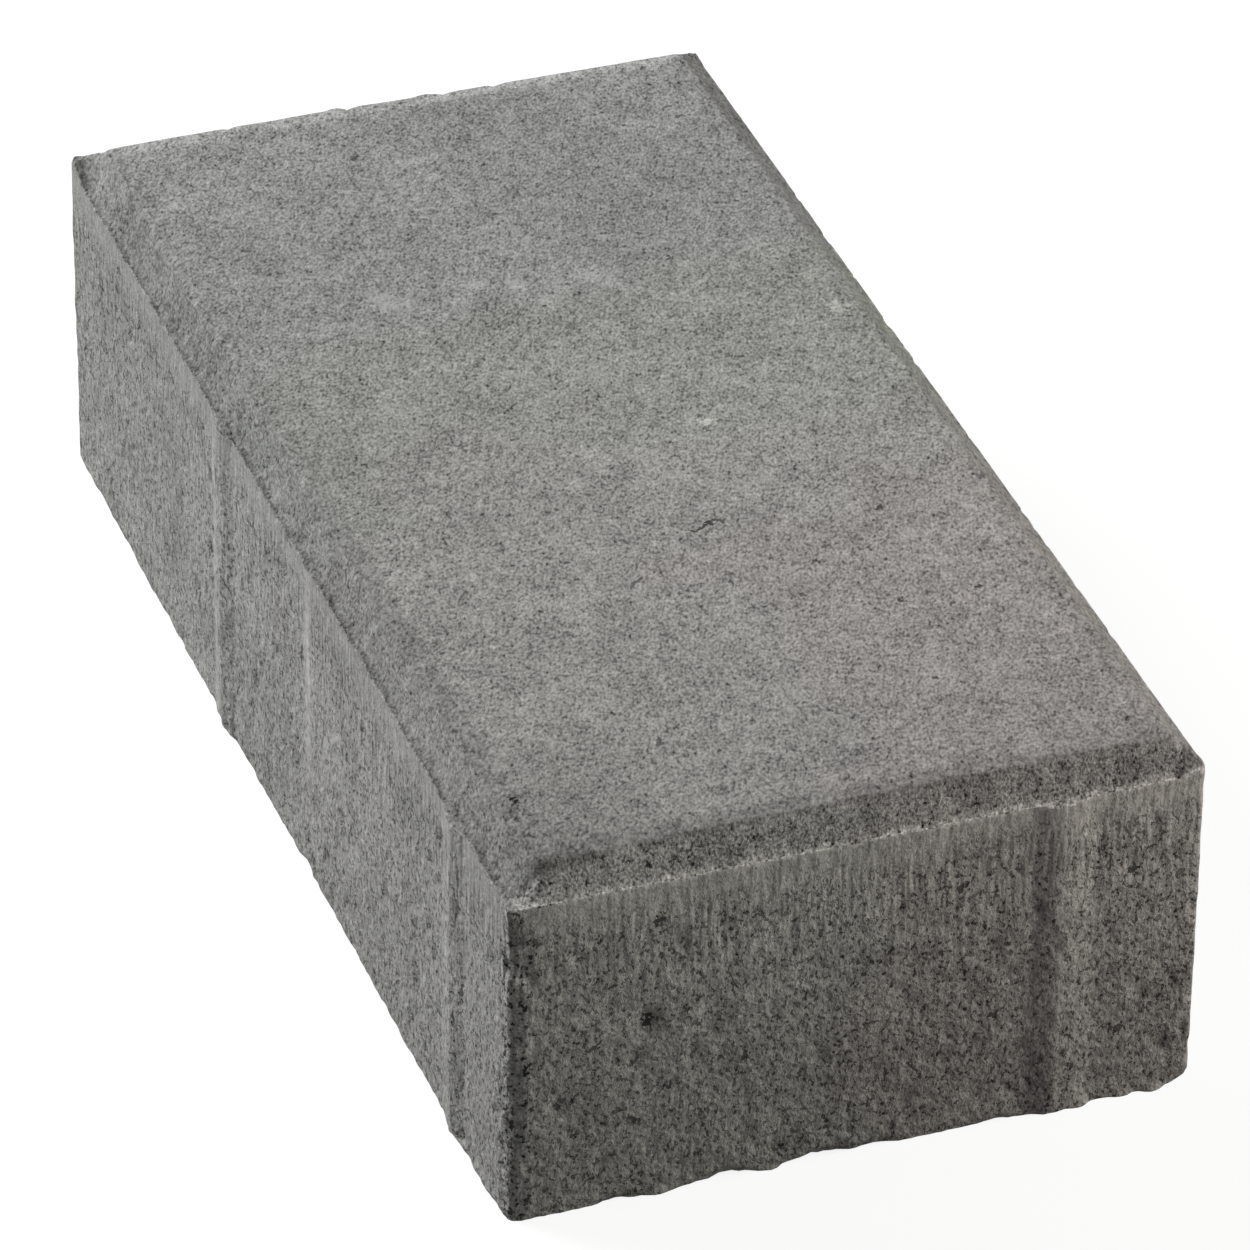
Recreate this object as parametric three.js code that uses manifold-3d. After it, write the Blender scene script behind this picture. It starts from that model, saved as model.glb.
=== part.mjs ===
// Concrete paving stone: one solid block pressed in a mould, with a flat wearing face, a chamfer
// all round it and low upright spacer ribs on one long side and one short side.
// Millimetres, +Z up, lying on its flat underside. The length runs along Y and the width along X.
// The origin is on the ground, under the middle of the stone's overall outline, ribs included.

import * as THREE from 'three';
import { mergeVertices } from 'three/addons/utils/BufferGeometryUtils.js';
import Module from 'manifold-3d';

// ---- Driving dimensions -------------------------------------------------------------------------

const LENGTH = 212; // block without its ribs: two widths and a 2 mm joint
const WIDTH = 105;
const HEIGHT = 60;
const CORNER_RADIUS = 0.8; // of the four upright corners

const CHAMFER_WIDTH = 4.2; // measured inwards, flat
const CHAMFER_DROP = 4.8; // measured down the side
const SHOULDER_RADIUS = 2; // rounds the edge between the chamfer and the wearing face
const INNER_CORNER_RADIUS = 1.5; // of the wearing face, where two chamfers meet

const RIB_STAND_OUT = 1.1; // half of a joint, with a little to spare
const RIB_BASE = 10; // width where it leaves the side
const RIB_CREST = 3.2; // width at its top, between the sharp corners that the rounding replaces
const RIB_ROUNDING = 1.2; // length of the rounding along flank and crest
const LONG_SIDE_RIBS = [23, 132.4]; // rib centres, from the end that has the short side's rib
const SHORT_SIDE_RIBS = [20.8]; // rib centres, from the corner without a ribbed long side

const CURVE_STEPS = 6; // pieces in each rounding of the outline
const SHOULDER_STEPS = 5; // pieces in the rounding of the shoulder
const CUT_MARGIN = 2; // how far the cutting shape reaches past what it cuts

// ---- Outline of the block, seen from above ------------------------------------------------------
// The block fills the rectangle from (0, 0) to (WIDTH, LENGTH). Ribs stand out of the long side at
// x = 0 and the short side at y = 0.

// Draws one rib as the outline passes its centre. `along` turns a distance along the side and a
// distance out of it into a point of the outline, and `direction` is the way the outline runs.
function drawRib(shape, centre, direction, along) {
  const foot = RIB_BASE / 2;
  const crest = RIB_CREST / 2;
  const flank = Math.hypot(foot - crest, RIB_STAND_OUT);
  const share = RIB_ROUNDING / flank;
  const shoulder = THREE.MathUtils.lerp(crest, foot, share);
  const shoulderOut = RIB_STAND_OUT * (1 - share);
  const point = (offset, out) => along(centre + direction * offset, out);

  shape.lineTo(...point(-foot, 0));
  shape.lineTo(...point(-shoulder, shoulderOut));
  shape.quadraticCurveTo(...point(-crest, RIB_STAND_OUT), ...point(-crest + RIB_ROUNDING, RIB_STAND_OUT));
  shape.lineTo(...point(crest - RIB_ROUNDING, RIB_STAND_OUT));
  shape.quadraticCurveTo(...point(crest, RIB_STAND_OUT), ...point(shoulder, shoulderOut));
  shape.lineTo(...point(foot, 0));
}

function ribbedOutline() {
  const r = CORNER_RADIUS;
  const shape = new THREE.Shape();
  shape.moveTo(r, 0);
  for (const fromCorner of [...SHORT_SIDE_RIBS].sort((a, b) => b - a)) {
    drawRib(shape, WIDTH - fromCorner, 1, (x, out) => [x, -out]);
  }
  shape.lineTo(WIDTH - r, 0);
  shape.absarc(WIDTH - r, r, r, -Math.PI / 2, 0);
  shape.lineTo(WIDTH, LENGTH - r);
  shape.absarc(WIDTH - r, LENGTH - r, r, 0, Math.PI / 2);
  shape.lineTo(r, LENGTH);
  shape.absarc(r, LENGTH - r, r, Math.PI / 2, Math.PI);
  for (const fromEnd of [...LONG_SIDE_RIBS].sort((a, b) => b - a)) {
    drawRib(shape, fromEnd, -1, (y, out) => [-out, y]);
  }
  shape.lineTo(0, r);
  shape.absarc(r, r, r, Math.PI, Math.PI * 1.5);
  return shape;
}

// ---- Chamfer ------------------------------------------------------------------------------------
// The chamfer is cut by a hipped cap: rings of the same rectangle, one above the other, each drawn
// in further than the one below. Its slope carries on past the sides, so it cuts the ribs as well.

// Ring of points of a rectangle with rounded corners, drawn in by `inset` from the block's sides.
function hipRing(inset, radius, z) {
  const ring = [];
  const corners = [
    [WIDTH - inset - radius, inset + radius, -Math.PI / 2],
    [WIDTH - inset - radius, LENGTH - inset - radius, 0],
    [inset + radius, LENGTH - inset - radius, Math.PI / 2],
    [inset + radius, inset + radius, Math.PI],
  ];
  for (const [x, y, start] of corners) {
    for (let i = 0; i <= CURVE_STEPS; i++) {
      const angle = start + (i / CURVE_STEPS) * (Math.PI / 2);
      ring.push(new THREE.Vector3(x + radius * Math.cos(angle), y + radius * Math.sin(angle), z));
    }
  }
  return ring;
}

// The cap's section, from its foot up: pairs of inset and height.
function hipSection() {
  const slope = Math.atan2(CHAMFER_DROP, CHAMFER_WIDTH);
  const margin = RIB_STAND_OUT + CUT_MARGIN;
  const footZ = HEIGHT - CHAMFER_DROP - margin * Math.tan(slope);
  const section = [
    [-margin, -CUT_MARGIN],
    [-margin, footZ],
  ];
  const centreInset = CHAMFER_WIDTH + SHOULDER_RADIUS * Math.tan(slope / 2);
  for (let i = 0; i <= SHOULDER_STEPS; i++) {
    const lean = slope * (1 - i / SHOULDER_STEPS);
    section.push([
      centreInset - SHOULDER_RADIUS * Math.sin(lean),
      HEIGHT - SHOULDER_RADIUS * (1 - Math.cos(lean)),
    ]);
  }
  return section;
}

// A closed solid through a stack of rings with equally many points, with flat ends.
function loftGeometry(rings) {
  const count = rings[0].length;
  const positions = rings.flat().flatMap((p) => [p.x, p.y, p.z]);
  const index = [];
  for (let level = 0; level < rings.length - 1; level++) {
    for (let i = 0; i < count; i++) {
      const a = level * count + i;
      const b = level * count + ((i + 1) % count);
      index.push(a, b, b + count, a, b + count, a + count);
    }
  }
  const top = (rings.length - 1) * count;
  for (let i = 1; i < count - 1; i++) {
    index.push(0, i + 1, i);
    index.push(top, top + i, top + i + 1);
  }
  const geometry = new THREE.BufferGeometry();
  geometry.setAttribute('position', new THREE.Float32BufferAttribute(positions, 3));
  geometry.setIndex(index);
  return geometry;
}

function hippedCap() {
  const section = hipSection();
  const rings = section.map(([inset, z]) => {
    const share = THREE.MathUtils.clamp(inset / CHAMFER_WIDTH, 0, 1);
    return hipRing(inset, THREE.MathUtils.lerp(CORNER_RADIUS, INNER_CORNER_RADIUS, share), z);
  });
  return loftGeometry(rings);
}

// ---- Joining and cutting ------------------------------------------------------------------------

const wasm = await Module();
wasm.setup();

function toSolid(geometry) {
  const bare = geometry.clone();
  bare.deleteAttribute('normal');
  bare.deleteAttribute('uv');
  const merged = mergeVertices(bare, 1e-4);
  return new wasm.Manifold(
    new wasm.Mesh({
      numProp: 3,
      vertProperties: new Float32Array(merged.attributes.position.array),
      triVerts: new Uint32Array(merged.index.array),
    }),
  );
}

function toGeometry(solid) {
  const mesh = solid.getMesh();
  const geometry = new THREE.BufferGeometry();
  geometry.setAttribute('position', new THREE.BufferAttribute(mesh.vertProperties, mesh.numProp));
  geometry.setIndex(new THREE.BufferAttribute(mesh.triVerts, 1));
  geometry.computeVertexNormals();
  return geometry;
}

// ---- The stone ----------------------------------------------------------------------------------

function pavingStone() {
  const block = new THREE.ExtrudeGeometry(ribbedOutline(), {
    depth: HEIGHT,
    curveSegments: CURVE_STEPS,
    bevelEnabled: false,
  });
  const geometry = toGeometry(toSolid(block).intersect(toSolid(hippedCap())));
  const concrete = new THREE.MeshStandardMaterial({ color: 0x8c8b88, roughness: 0.92, metalness: 0 });
  const stone = new THREE.Mesh(geometry, concrete);
  stone.name = 'paving_stone';
  stone.position.set((RIB_STAND_OUT - WIDTH) / 2, (RIB_STAND_OUT - LENGTH) / 2, 0);
  return stone;
}

const pavingStoneModel = new THREE.Group();
pavingStoneModel.add(pavingStone());

export default pavingStoneModel;
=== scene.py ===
import math

import bpy
import numpy as np
from mathutils import Matrix, Vector, noise
from mathutils.geometry import delaunay_2d_cdt
from mathutils.kdtree import KDTree


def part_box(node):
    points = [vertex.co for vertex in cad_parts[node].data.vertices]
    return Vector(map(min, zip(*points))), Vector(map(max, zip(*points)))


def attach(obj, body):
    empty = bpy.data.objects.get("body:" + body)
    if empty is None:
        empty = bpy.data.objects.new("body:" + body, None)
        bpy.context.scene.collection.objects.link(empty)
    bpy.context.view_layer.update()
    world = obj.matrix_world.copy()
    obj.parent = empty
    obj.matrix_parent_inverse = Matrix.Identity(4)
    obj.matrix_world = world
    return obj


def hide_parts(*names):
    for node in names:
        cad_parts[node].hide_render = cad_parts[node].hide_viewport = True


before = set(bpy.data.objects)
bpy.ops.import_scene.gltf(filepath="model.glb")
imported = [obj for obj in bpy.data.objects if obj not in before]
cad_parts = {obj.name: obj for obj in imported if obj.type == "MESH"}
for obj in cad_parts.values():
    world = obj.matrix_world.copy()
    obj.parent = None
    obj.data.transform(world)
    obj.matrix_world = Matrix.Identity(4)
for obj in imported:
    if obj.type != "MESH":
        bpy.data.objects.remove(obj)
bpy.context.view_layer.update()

# ---- Fields ----
# These work on all points at once. A range is a pair: where a change sets in and where it is complete.

SEED_STEP = 17.3  # how far apart noises with neighbouring seeds are read


def wave(points, cell, seed):
    """Smooth noise from about -1 to 1, for features about `cell` across: one size, or one for each axis."""
    shifted = points / np.asarray(cell, float) + seed * SEED_STEP
    return np.array([noise.noise(point) for point in shifted.tolist()])


def waves(points, layers):
    """Sum of noises, each given by its strength, its cell and its seed."""
    return sum(strength * wave(points, cell, seed) for strength, cell, seed in layers)


def ramp(value, start, end):
    """0 before start, 1 after end and smooth between."""
    share = np.clip((value - start) / (end - start), 0, 1)
    return share * share * (3 - 2 * share)


def bump(distance, reach):
    """1 at no distance, falling smoothly to 0 at reach on either side."""
    return (1 - np.clip(np.abs(distance) / reach, 0, 1) ** 2) ** 2


def mix(first, second, share):
    """The first value where the share is 0 and the second where it is 1."""
    return first + (second - first) * share


# ---- The stone's form, in millimetres ----
# The block's planes come from the CAD node. Its ribs stand out of the left and front sides, and the near
# left corner is the one between these. Lists of four go round the sides: left, front, right and back.

MM = 0.001
CORNER_RADIUS = 0.8
CHAMFER_WIDTH = 4.2
CHAMFER_WIDTHS = [CHAMFER_WIDTH, 3.2, CHAMFER_WIDTH, CHAMFER_WIDTH]  # as worn
CHAMFER_DROP = 4.8
SOFTNESS = 0.35  # how far on either side the bends of the cap's section are rounded
SOFTENING = np.linspace(-1, 1, 5)  # places, as shares of a softness, that a bend is averaged over
CORNER_BLEND = 3.0  # how much further than elsewhere the sides blend at the near left corner
CORNER_BLEND_FADE = (6, 30)  # range of x + y from that corner over which this ends

# Hips are the edges where two chamfers meet.
HIP_SOFTNESS = 1.0
WORN_HIP_SOFTNESS = 4.0  # at the near left corner
WORN_HIP_RISE = (1.0, 4.0)  # insets over which it grows to this
WORN_HIP_FADE = (15, 50)  # range of x + y from that corner over which it ends

BAND_WIDTH = 3.1  # a worn band round the wearing face, past the chamfer's shoulder
BAND_DROP = 0.22
LEDGE_WIDTHS = [1.6, 1.1, 0.0, 0.3]  # of the ledge at the chamfer's foot
LEDGE_DROPS = [0.4, 0.65, -0.5, -0.3]  # how far it lies below the CAD's lip
LEDGE_SLOPES = [1.2, 0.55, 0.55, 0.55]  # of its upper face on the ribs
RIGHT_LIP_RISE = 0.8  # from the near end of the right side's lip to its far end
RIGHT_LIP_PIVOT = 1 / 3  # the share of its length at which this leaves it as it is

SHOULDER_SWAYS = [0.9, 1.0, 0.7, 0.15]  # how much the chamfer's shoulder wanders
SHOULDER_WAVES = [(0.45, 5, 10), (0.3, 2.2, 11)]
SWAY_RISE = (0.5, 2.5)  # insets

# Where the chamfer's shoulder is worn off: x, y, reach and depth.
SHOULDER_WEAR = [(4, 4, 34, 0.5), (82, 208, 50, 0.32)]
SHOULDER_WEAR_WIDTH = 4.5
SHOULDER_WEAR_MIDDLE = 0.5  # past the shoulder
SHOULDER_WEAR_RISE = (0, 2)  # insets

RIB_STAND_OUT = 1.1
RIB_SOFTNESS = 0.25

# Each rib's centre, along its side from the near left corner, and its section: distances along the side
# from the centre and, at each, how far the rib stands out.
LEFT_RIBS = [
    (23, ((-4.2, 0), (0.1, 0.87), (5.6, 0))),
    (132.4, ((-4.6, 0), (-3.0, 0.43), (0, 0.78), (5.85, 0))),
]
FRONT_RIBS = [
    (84.2, ((-5.05, 0), (-3.65, 0.49), (-2.45, 0.79), (-0.95, 1.01), (4.65, 0))),
]

low, high = (np.array(corner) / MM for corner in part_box("paving_stone"))
LEFT, FRONT = low[0] + RIB_STAND_OUT, low[1] + RIB_STAND_OUT
RIGHT, BACK, TOP = high
WIDTH, LENGTH = RIGHT - LEFT, BACK - FRONT
LIP = TOP - CHAMFER_DROP  # height of the edge between walls and chamfer

# ---- The mesh's fineness ----

LINE_GAP = 0.94  # between mesh lines on the faces
EDGE_GAP = 0.14  # between the first two lines at an edge
SHOULDER_GAP = 0.3  # between those at the chamfer's shoulder
RIB_GAP = 0.4  # and between those at the bends of a rib's section
GAP_GROWTH = 0.22  # how much wider the gaps get for each millimetre away from these
COUNT_STEP = 0.02  # in which the gaps along a length are added up
CORNER_ZONE = 8  # how far in from the sides the corner's rounding is carried
UNDERSIDE_MARGIN = 4  # the underside's own points start this far in
UNDERSIDE_GAP = 6  # and are this far apart
INSIDE_ONLY = 1  # has the Delaunay triangulation keep to its outline
TINY = 1e-6  # lengths below this count as none

CAP, WALL, UNDERSIDE = 0, 1, 2  # kinds of vertex: those of the walls' upper edge belong to the cap


def mesh_lines(length, marks):
    """Places of the mesh lines along a length: LINE_GAP apart, and closer near each of the marks, which
    are pairs of a place and the gap there."""
    fine = np.linspace(0, length, round(length / COUNT_STEP) + 1)
    gap = np.full_like(fine, LINE_GAP)
    for place, narrow in marks:
        gap = np.minimum(gap, narrow + GAP_GROWTH * np.abs(fine - place))
    count = np.cumsum(np.diff(fine, prepend=0) / gap)
    return np.interp(np.linspace(0, count[-1], round(count[-1]) + 1), count, fine)


def side_marks(length, first, last, ribs):
    """Where mesh lines come close together along a side: its ends, the shoulders of the chamfers there,
    whose widths are first and last, and the ribs' bends."""
    marks = [(0, EDGE_GAP), (length, EDGE_GAP)]
    marks += [(first, SHOULDER_GAP), (length - last, SHOULDER_GAP)]
    return marks + [(centre + offset, RIB_GAP) for centre, section in ribs for offset, _ in section]


def side_rise(distance, ribs):
    """How far the side's ribs stand out at a distance along it from the near left corner."""
    total = 0
    for centre, section in ribs:
        offsets, rises = zip(*section)
        for share in SOFTENING:
            total = total + np.interp(distance - centre + share * RIB_SOFTNESS, offsets, rises)
    return total / len(SOFTENING)


def round_corners(x, y, inset):
    """Draws the square corners of each ring of the block, `inset` from its sides, in to arcs."""
    reach = CORNER_RADIUS + np.minimum(inset, CORNER_ZONE)
    dx = x - np.clip(x, reach, WIDTH - reach)
    dy = y - np.clip(y, reach, LENGTH - reach)
    size = np.maximum(np.hypot(dx, dy), TINY)
    share = np.maximum(np.abs(dx), np.abs(dy)) / size
    turned = (dx != 0) & (dy != 0)
    return x + np.where(turned, dx * (share - 1), 0), y + np.where(turned, dy * (share - 1), 0)


def side_shares(x, y):
    """How much each point belongs to the left, front, right and back side: 1 except near the hips."""
    reach = [x, y, WIDTH - x, LENGTH - y]
    blend = 1 + CORNER_BLEND * (1 - ramp(x + y, *CORNER_BLEND_FADE))
    shares = []
    for side, own in enumerate(reach):
        nearest_other = np.min(reach[:side] + reach[side + 1 :], axis=0)
        shares.append(ramp((nearest_other - own) / blend, -1, 1))
    return shares


def by_side(shares, values):
    """Mixes four sides' values at each point."""
    return sum(share * value for share, value in zip(shares, values))


def cap_height(inset, shares, y):
    """Height of the ledge, the chamfer and, past its shoulder, the band and the wearing face."""
    width, shoulder = by_side(shares, LEDGE_WIDTHS), by_side(shares, CHAMFER_WIDTHS)
    right_rise = shares[2] * RIGHT_LIP_RISE * (y / LENGTH - RIGHT_LIP_PIVOT)
    foot = LIP - by_side(shares, LEDGE_DROPS) + right_rise
    steepness = (TOP - BAND_DROP - foot) / (shoulder - width)
    ledge_slope = by_side(shares, LEDGE_SLOPES)
    total = 0
    for share in SOFTENING:
        at = inset + share * SOFTNESS
        ledge = foot + ledge_slope * np.minimum(at, 0)
        chamfer = foot + steepness * (at - width)
        # The band's slope goes on outwards by its own width, to meet the chamfer's.
        band = TOP - BAND_DROP * np.clip((shoulder + BAND_WIDTH - at) / BAND_WIDTH, 0, 2)
        total = total + np.maximum(ledge, np.minimum(chamfer, band))
    return total / len(SOFTENING)


def place(x, y, level):
    """Points of the stone from places on a plain box: x and y from the near left corner, and a level from
    0 on the ground to 1 at the upper edge of the walls and on all of the cap. Also each point's insets
    from the nearest side and from the next one."""
    inset, corner = np.sort([x, WIDTH - x, y, LENGTH - y], axis=0)[:2]
    shares = side_shares(x, y)
    fade = np.clip(1 - inset / CHAMFER_WIDTH, 0, 1)
    out_left = np.where(x == inset, side_rise(y, LEFT_RIBS), 0) * fade
    out_front = np.where(y == inset, side_rise(x, FRONT_RIBS), 0) * fade

    worn = (1 - ramp(x + y, *WORN_HIP_FADE)) * ramp(inset, *WORN_HIP_RISE)
    softness = mix(HIP_SOFTNESS, WORN_HIP_SOFTNESS, worn)
    soft_inset = (inset + corner - np.hypot(corner - inset, softness)) / 2
    flat = np.stack([x, y, np.zeros_like(x)], axis=1)
    sway = waves(flat, SHOULDER_WAVES) * by_side(shares, SHOULDER_SWAYS)
    soft_inset += sway * ramp(inset, *SWAY_RISE)

    from_wear = soft_inset - by_side(shares, CHAMFER_WIDTHS) - SHOULDER_WEAR_MIDDLE
    wear = sum(depth * bump(np.hypot(x - wx, y - wy), reach) for wx, wy, reach, depth in SHOULDER_WEAR)
    worn_off = wear * bump(from_wear, SHOULDER_WEAR_WIDTH) * ramp(inset, *SHOULDER_WEAR_RISE)
    height = (cap_height(soft_inset - out_left - out_front, shares, y) - worn_off) * level
    x, y = round_corners(x, y, inset)
    return np.stack([LEFT + x - out_left, FRONT + y - out_front, height], axis=1), inset, corner


def quads(number):
    """Corner numbers of the quads between neighbours in a grid of vertex numbers."""
    corners = [number[:-1, :-1], number[1:, :-1], number[1:, 1:], number[:-1, 1:]]
    return np.stack(corners, axis=-1).reshape(-1, 4)


def underside(points, ring):
    """Inner points of the underside, and triangles from them to the ring of the walls' lowest vertices."""
    xs = np.arange(LEFT + UNDERSIDE_MARGIN, RIGHT - UNDERSIDE_MARGIN, UNDERSIDE_GAP)
    ys = np.arange(FRONT + UNDERSIDE_MARGIN, BACK - UNDERSIDE_MARGIN, UNDERSIDE_GAP)
    inner = np.stack([a.ravel() for a in np.meshgrid(xs, ys)], axis=1)
    flat = [Vector(p) for p in np.vstack([points[ring][:, :2], inner]).tolist()]
    outline = list(range(len(ring)))
    _, _, found, sources, _, _ = delaunay_2d_cdt(flat, [], [outline], INSIDE_ONLY, TINY)
    numbers = np.concatenate([ring, len(points) + np.arange(len(inner))])
    triangles = [[int(numbers[sources[corner][0]]) for corner in face][::-1] for face in found]
    return np.hstack([inner, np.zeros((len(inner), 1))]), triangles


def smooth_stone():
    """The stone before its roughness: its points and faces, and for each point its kind and its insets
    from the nearest side and from the next one."""
    left, front, right, back = CHAMFER_WIDTHS
    xs = mesh_lines(WIDTH, side_marks(WIDTH, left, right, FRONT_RIBS))
    ys = mesh_lines(LENGTH, side_marks(LENGTH, front, back, LEFT_RIBS))
    levels = mesh_lines(TOP, [(0, EDGE_GAP), (TOP, EDGE_GAP)]) / TOP
    cap_x, cap_y = np.meshgrid(xs, ys, indexing="ij")
    cap_number = np.arange(cap_x.size).reshape(cap_x.shape)
    edge = [cap_number[:-1, 0], cap_number[-1, :-1], cap_number[:0:-1, -1], cap_number[0, :0:-1]]
    edge = np.concatenate(edge)
    rings = len(levels) - 1
    wall_number = cap_x.size + np.arange(rings * len(edge)).reshape(rings, len(edge))
    wall_number = np.vstack([wall_number, edge])
    wall_number = np.hstack([wall_number, wall_number[:, :1]])

    x = np.concatenate([cap_x.ravel(), np.tile(cap_x.ravel()[edge], rings)])
    y = np.concatenate([cap_y.ravel(), np.tile(cap_y.ravel()[edge], rings)])
    level = np.concatenate([np.ones(cap_x.size), np.repeat(levels[:-1], len(edge))])
    points, inset, corner = place(x, y, level)

    inner, triangles = underside(points, wall_number[0, :-1])
    faces = np.vstack([quads(cap_number), quads(wall_number)[:, ::-1]]).tolist() + triangles
    kind = np.repeat([CAP, WALL, UNDERSIDE], [cap_x.size, rings * len(edge), len(inner)])
    inset = np.concatenate([inset, np.full(len(inner), UNDERSIDE_MARGIN)])
    corner = np.concatenate([corner, np.full(len(inner), UNDERSIDE_MARGIN)])
    return np.vstack([points, inner]), faces, kind, inset, corner


# ---- Roughness of the form ----
# In millimetres. Waves are layers of noise: strength, cell and seed.

SEED = 7
WALL_PITS = (1 / 55, (0.9, 2.0), (0.15, 0.6))  # how many on a square millimetre, their reaches and depths
CAP_PITS = (1 / 700, (0.9, 1.6), (0.1, 0.4))
WALL_LEAN = 0.3  # the most that normals of the walls' faces point up or down
CAP_LEAN = 0.5  # and the least that those of the cap's point up
LARGE_PITS = [  # place, reach and depth
    ((-31, FRONT, 30.8), 2.8, 0.75),
    ((-44.4, -87, TOP), 1.9, 0.4),
]
PIT_STRETCH = 1.5  # how much taller than wide pits are

BROAD_WAVES = [(0.1, 24, 1)]
WALL_WAVES = [(0.12, (5, 5, 9), 2), (0.09, (2.3, 2.3, 4.6), 3)]
CAP_WAVES = [(0.05, 9, 4), (0.03, 3, 5)]
LIP_ROUGHNESS = 0.25  # share of the walls' waves and pits that is left at the lip
ROUGHNESS_RISE = (3, 10)  # distances below the lip over which it grows to all

# Marks that stand out from the grain: place, turn in degrees, half length, half width and tone, which is
# below zero for pits and cracks and above it for pale stones. A tone below zero is painted shade in the pit
# or crack, which also gets relief. Places are x and y on the cap, y and z on the left wall, and x and z on
# the front wall.
CAP_MARKS = [
    (-44.4, -87.0, 60, 1.3, 0.6, -0.65),
    (24.9, -57.5, 45, 0.8, 0.6, -0.5),
    (25.6, 42.5, 95, 0.8, 0.5, -0.5),
    (37.3, -58.3, 42, 1.1, 0.5, -0.5),
    (30.9, -33.5, 57, 0.9, 0.6, -0.5),
    (14.0, -1.9, 44, 0.9, 0.5, -0.45),
    (-11.3, 86.5, 32, 0.9, 0.6, -0.45),
    (3.6, -30.5, 20, 1.1, 0.42, -0.5),
    (5.5, -29.8, 25, 1.0, 0.48, -0.55),
    (7.3, -29.5, 12, 1.0, 0.52, -0.45),
    (-10.8, -41.6, 30, 1.0, 0.3, -0.4),
    (-9.5, -40.7, 37, 0.8, 0.5, -0.45),
    (41.7, 82.6, 37, 0.8, 0.5, -0.4),
    (48.5, 73.3, 88, 1.1, 0.4, -0.4),
    (23.5, 50.9, 137, 0.7, 0.5, -0.4),
    (-20.6, -80.5, 61, 0.9, 0.6, -0.4),
    (19.5, -40.7, 10, 1.1, 0.4, -0.4),
    (15.0, -3.4, 10, 1.6, 1.2, 0.4),
    (45.3, 20.8, 10, 2.1, 1.8, 0.36),
    (-5.0, -7.0, 39, 0.8, 0.6, 0.24),
    (-20.4, 45.2, 90, 3.2, 2.7, 0.18),
    (-17.2, 42.0, 90, 1.9, 1.6, 0.08),
    (-5.7, 44.2, 60, 2.5, 2.1, 0.28),
    (0.3, 43.2, 90, 3.0, 1.8, 0.2),
    (2.9, 36.7, 90, 1.9, 1.5, 0.2),
    (12.2, 42.0, 90, 2.2, 1.9, 0.2),
    (27.0, 39.2, 90, 2.2, 1.5, 0.19),
    (-16.3, 77.8, -21, 3.4, 0.8, 0.22),
    (-3.0, 82.6, -21, 2.0, 1.1, 0.18),
    (26.4, -60.1, 76, 0.8, 0.4, 0.48),
    (-28.8, -44.9, 59, 0.6, 0.4, 0.48),
]
LEFT_MARKS = [
    (-5.3, 42.7, 90, 1.0, 0.7, -0.5),
    (28.4, 44.8, 80, 1.7, 1.3, -0.35),
    (-83.5, 20.8, 78, 1.1, 0.7, -0.45),
    (-9.8, 36.1, 91, 1.1, 0.9, -0.4),
    (-86.0, 27.6, 111, 1.1, 0.7, -0.45),
    (85.9, 23.7, 119, 1.1, 0.6, -0.4),
    (80.9, 50.7, 121, 1.0, 0.6, -0.4),
    (-62.9, 6.6, 115, 1.0, 0.7, -0.4),
    (-79.3, 21.1, 141, 1.0, 0.6, -0.4),
    (37.1, 48.1, 136, 1.2, 0.7, -0.35),
    (-98.8, 45.1, 142, 0.9, 0.5, -0.4),
    (-84.7, 8.5, 115, 1.0, 0.6, -0.4),
    (83.6, 23.6, 88, 3.0, 0.3, 0.22),
    (67.4, 19.2, 92, 2.5, 0.3, 0.2),
    (60.3, 14.9, 90, 2.5, 0.3, 0.2),
    (47.6, 12.0, 88, 2.0, 0.3, 0.15),
]
FRONT_MARKS = [
    (-31.0, 30.8, 46, 1.2, 0.9, -0.6),
    (42.6, 40.1, 15, 0.9, 0.7, -0.55),
    (-29.4, 48.2, 31, 1.0, 0.8, -0.55),
    (16.1, 43.2, 45, 0.9, 0.8, -0.5),
    (-44.4, 18.8, 132, 0.9, 0.6, -0.5),
    (-27.7, 19.1, 107, 1.0, 0.6, -0.5),
    (-33.1, 14.1, 159, 0.9, 0.8, -0.5),
    (-16.5, 21.3, 71, 1.0, 0.7, -0.5),
    (-5.4, 40.4, 66, 0.8, 0.7, -0.45),
    (41.4, 12.0, 39, 1.1, 0.8, -0.45),
    (13.2, 32.0, 38, 1.0, 0.5, -0.45),
    (21.3, 19.5, 172, 1.1, 0.8, -0.5),
    (-38.7, 28.7, 50, 1.5, 0.5, -0.45),
    (46.2, 15.6, 154, 1.0, 0.6, -0.4),
    (49.8, 38.1, 42, 1.0, 0.8, -0.4),
    (26.6, 33.2, 69, 1.0, 0.6, 0.4),
    (26.1, 30.5, 151, 0.8, 0.7, 0.32),
]
MARK_MARGIN = 1.8  # how far past its edge a mark's place is known
NO_MARK = 9.0  # the place of points off every mark
CRACK_SHAPE = (1.5, 1.9)  # lengths as shares of the width from which a dark mark bends as a crack does
WALL_DEPTH = 0.5  # how far inside a wall's plane its points may lie

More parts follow.
